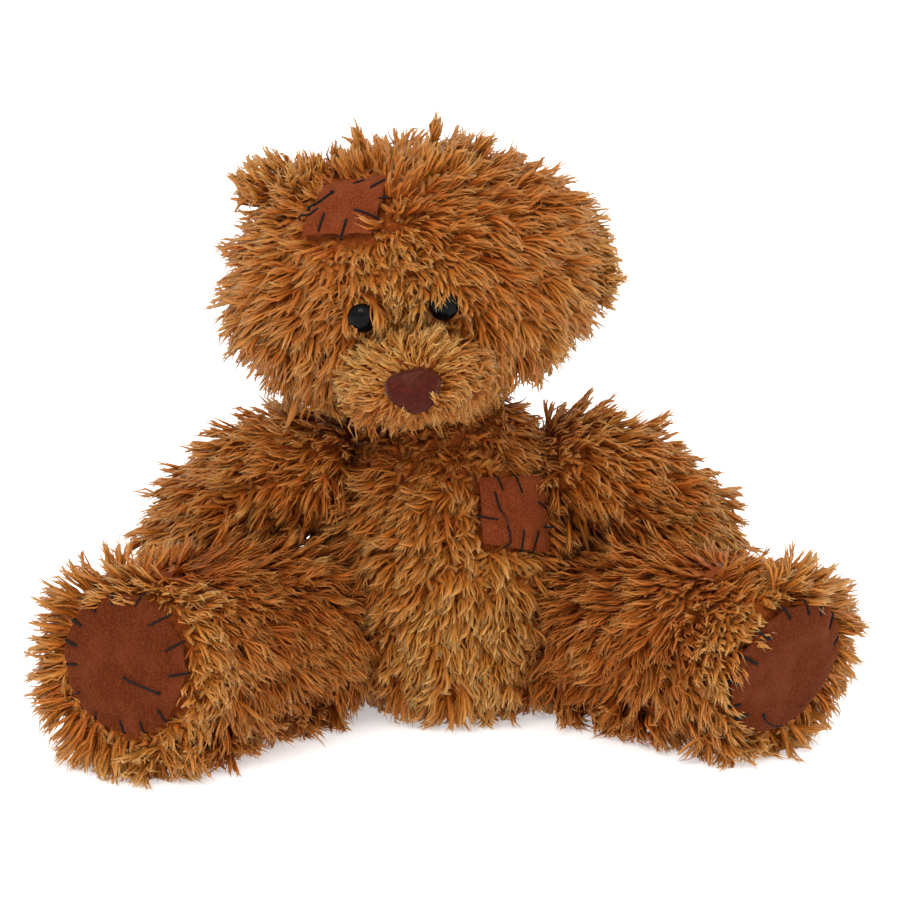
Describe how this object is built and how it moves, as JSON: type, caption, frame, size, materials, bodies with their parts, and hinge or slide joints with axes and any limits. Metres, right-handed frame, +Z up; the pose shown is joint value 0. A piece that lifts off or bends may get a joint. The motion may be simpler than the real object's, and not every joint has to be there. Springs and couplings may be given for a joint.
{
  "type": "threadbare teddy bear",
  "caption": "Slumped seated plush teddy bear with shaggy pile, suede foot pads, sewn-on suede patches, a leatherette nose and round black eyes.",
  "frame": {"origin": "on the ground under the middle of the seated bear", "axes": "+Z up; the bear faces -Y; its own left side is at +X"},
  "size_m": [0.2424, 0.1298, 0.1841],
  "materials": {
    "plush": "long shaggy tufted pile, golden brown with red-brown roots",
    "short_plush": "short fuzzy pile, a little paler",
    "suede": "matt rust-brown imitation suede with a mottled nap",
    "leatherette": "padded maroon leatherette with a soft sheen",
    "eye_plastic": "glossy black",
    "washer_plastic": "plain moulded",
    "thread": "twisted black cotton",
    "filling": "fluffy fibre",
    "pellets": "small loose granules in a thin cloth pouch"
  },
  "bodies": {
    "root": {"torso_skin": "plush", "head_skin": "plush", "muzzle_skin": "short_plush", "arm_skin_left": "plush", "arm_skin_right": "plush", "leg_skin_left": "plush", "leg_skin_right": "plush", "ear_left": "plush", "ear_right": "plush", "torso_stuffing": "filling", "head_stuffing": "filling", "muzzle_stuffing": "filling", "arm_stuffing_left": "filling", "arm_stuffing_right": "filling", "leg_stuffing_left": "filling", "leg_stuffing_right": "filling", "pellet_bag": "pellets", "foot_pad_left": "suede", "foot_stitching_left": "thread", "eye_left": "eye_plastic", "eye_washer_left": "washer_plastic", "foot_pad_right": "suede", "foot_stitching_right": "thread", "eye_right": "eye_plastic", "eye_washer_right": "washer_plastic", "nose": "leatherette", "head_patch": "suede", "head_patch_stitching": "thread", "chest_patch": "suede", "chest_patch_stitching": "thread"}
  },
  "joints": []
}
